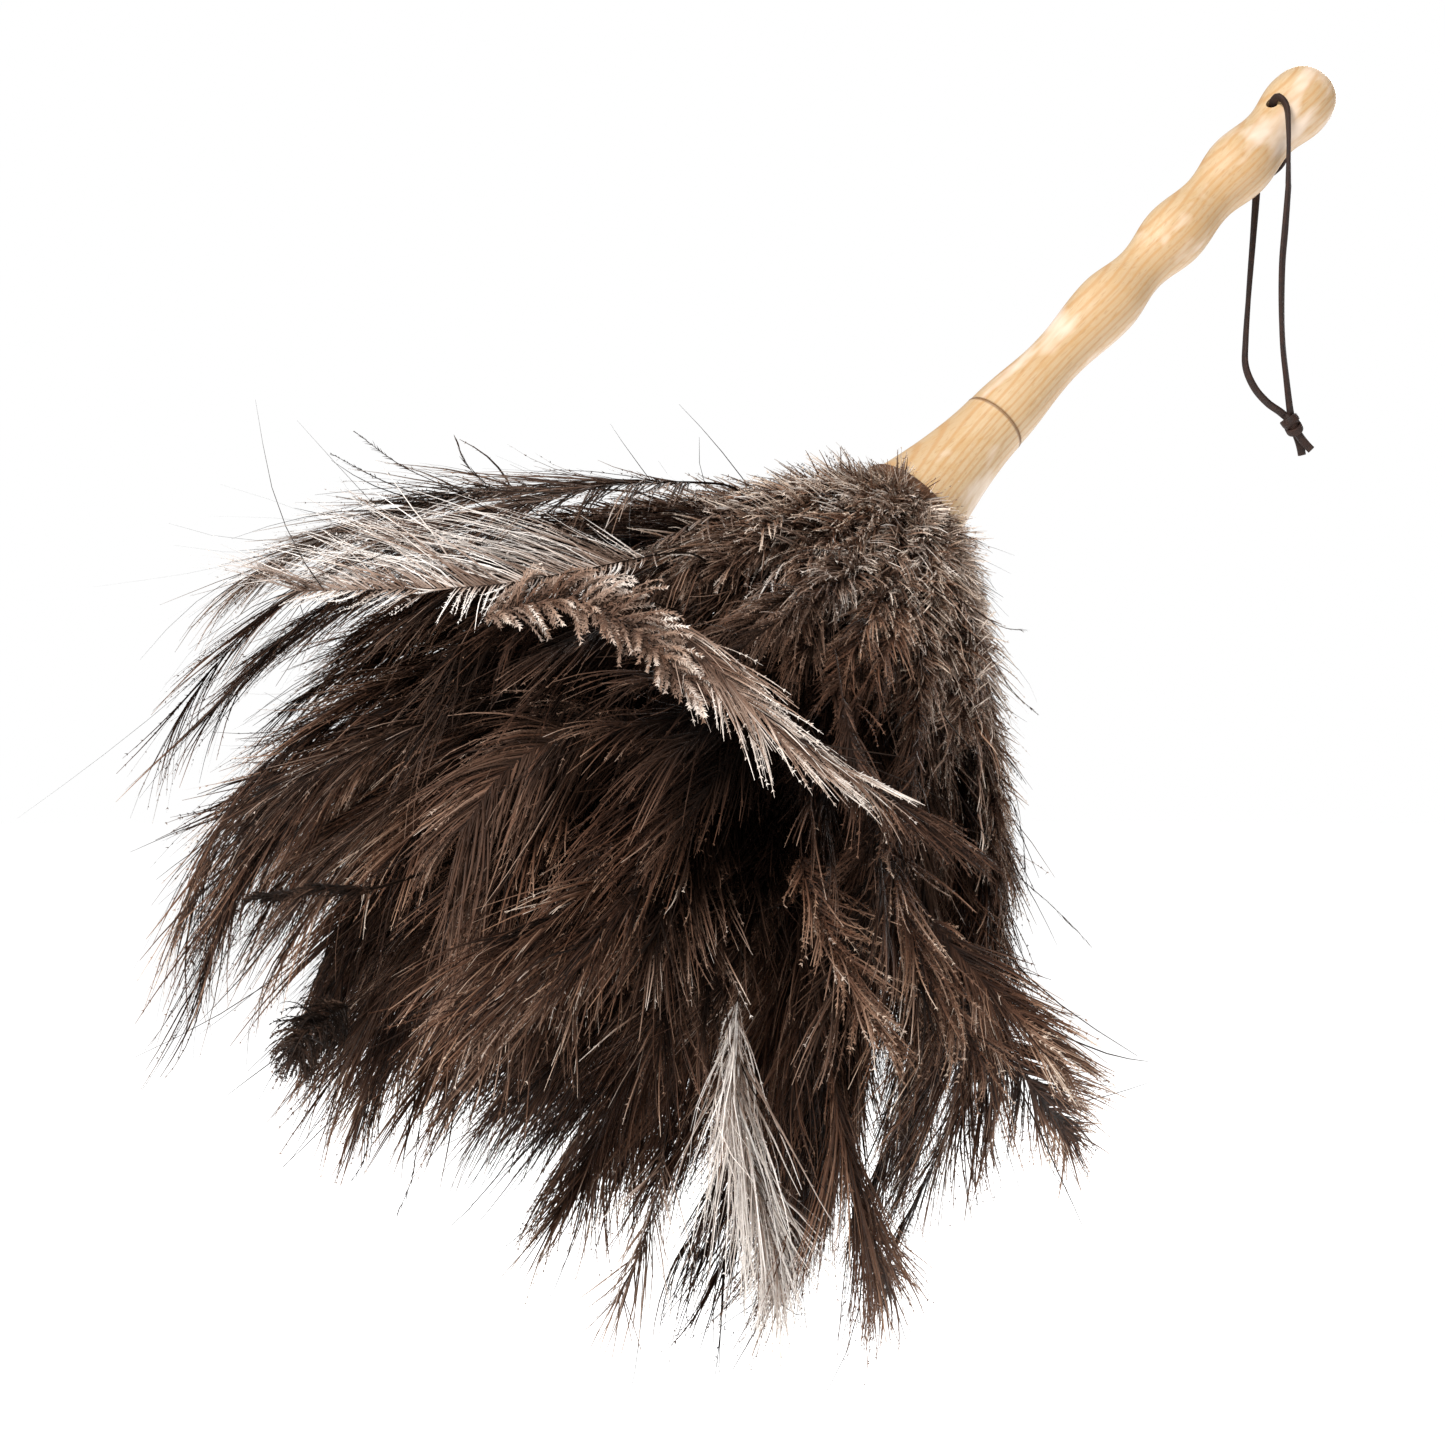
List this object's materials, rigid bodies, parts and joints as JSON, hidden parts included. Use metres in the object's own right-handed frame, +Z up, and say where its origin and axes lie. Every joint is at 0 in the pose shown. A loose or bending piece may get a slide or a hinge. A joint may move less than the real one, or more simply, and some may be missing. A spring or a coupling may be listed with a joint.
{
  "type": "feather duster",
  "caption": "Feather duster: ostrich plumes wired to the tenon of a turned wooden handle with a leather collar and a hanging lace loop.",
  "frame": {"origin": "on the handle's axis at the middle swelling of the grip, where a hand holds it", "axes": "+Z up; the handle lies in the XZ plane and rises 43 degrees above level towards +X, with the feather head low at -X; the shortest side of the part runs along Y"},
  "size_m": [0.5028, 0.3409, 0.4745],
  "materials": {
    "wood": "satin varnish",
    "collar_leather": "worn",
    "binding_wire": "drawn",
    "collar_plume_feather": "matt, soft",
    "outer_plume_feather": "matt, soft",
    "middle_plume_feather": "matt, soft",
    "inner_plume_feather": "matt, soft",
    "lace_leather": "oiled, matt"
  },
  "bodies": {
    "duster": {"handle": "wood", "leather_collar": "collar_leather", "binding_wire_collar_row": "binding_wire", "binding_wire_outer_row": "binding_wire", "binding_wire_middle_row": "binding_wire", "binding_wire_inner_row": "binding_wire", "collar_plume_01": "collar_plume_feather", "collar_plume_02": "collar_plume_feather", "collar_plume_03": "collar_plume_feather", "collar_plume_04": "collar_plume_feather", "collar_plume_05": "collar_plume_feather", "collar_plume_06": "collar_plume_feather", "collar_plume_07": "collar_plume_feather", "collar_plume_08": "collar_plume_feather", "collar_plume_09": "collar_plume_feather", "collar_plume_10": "collar_plume_feather", "outer_plume_01": "outer_plume_feather", "outer_plume_02": "outer_plume_feather", "outer_plume_03": "outer_plume_feather", "outer_plume_04": "outer_plume_feather", "outer_plume_05": "outer_plume_feather", "outer_plume_06": "outer_plume_feather", "outer_plume_07": "outer_plume_feather", "outer_plume_08": "outer_plume_feather", "outer_plume_09": "outer_plume_feather", "outer_plume_10": "outer_plume_feather", "outer_plume_11": "outer_plume_feather", "outer_plume_12": "outer_plume_feather", "outer_plume_13": "outer_plume_feather", "outer_plume_14": "outer_plume_feather", "middle_plume_01": "middle_plume_feather", "middle_plume_02": "middle_plume_feather", "middle_plume_03": "middle_plume_feather", "middle_plume_04": "middle_plume_feather", "middle_plume_05": "middle_plume_feather", "middle_plume_06": "middle_plume_feather", "middle_plume_07": "middle_plume_feather", "middle_plume_08": "middle_plume_feather", "middle_plume_09": "middle_plume_feather", "middle_plume_10": "middle_plume_feather", "middle_plume_11": "middle_plume_feather", "middle_plume_12": "middle_plume_feather", "inner_plume_01": "inner_plume_feather", "inner_plume_02": "inner_plume_feather", "inner_plume_03": "inner_plume_feather", "inner_plume_04": "inner_plume_feather", "inner_plume_05": "inner_plume_feather", "inner_plume_06": "inner_plume_feather", "inner_plume_07": "inner_plume_feather", "inner_plume_08": "inner_plume_feather", "lace_through_handle": "lace_leather"},
    "hanging_loop": {"lace_front_strand": "lace_leather", "lace_back_strand": "lace_leather", "lace_knot": "lace_leather", "lace_tail_front": "lace_leather", "lace_tail_back": "lace_leather"}
  },
  "joints": [
    {"name": "loop_swing", "type": "hinge", "parent": "duster", "child": "hanging_loop", "pos_m": [0.04461, 0, 0.01969], "axis": [0, 1, 0], "range_deg": [-80, 30]}
  ]
}
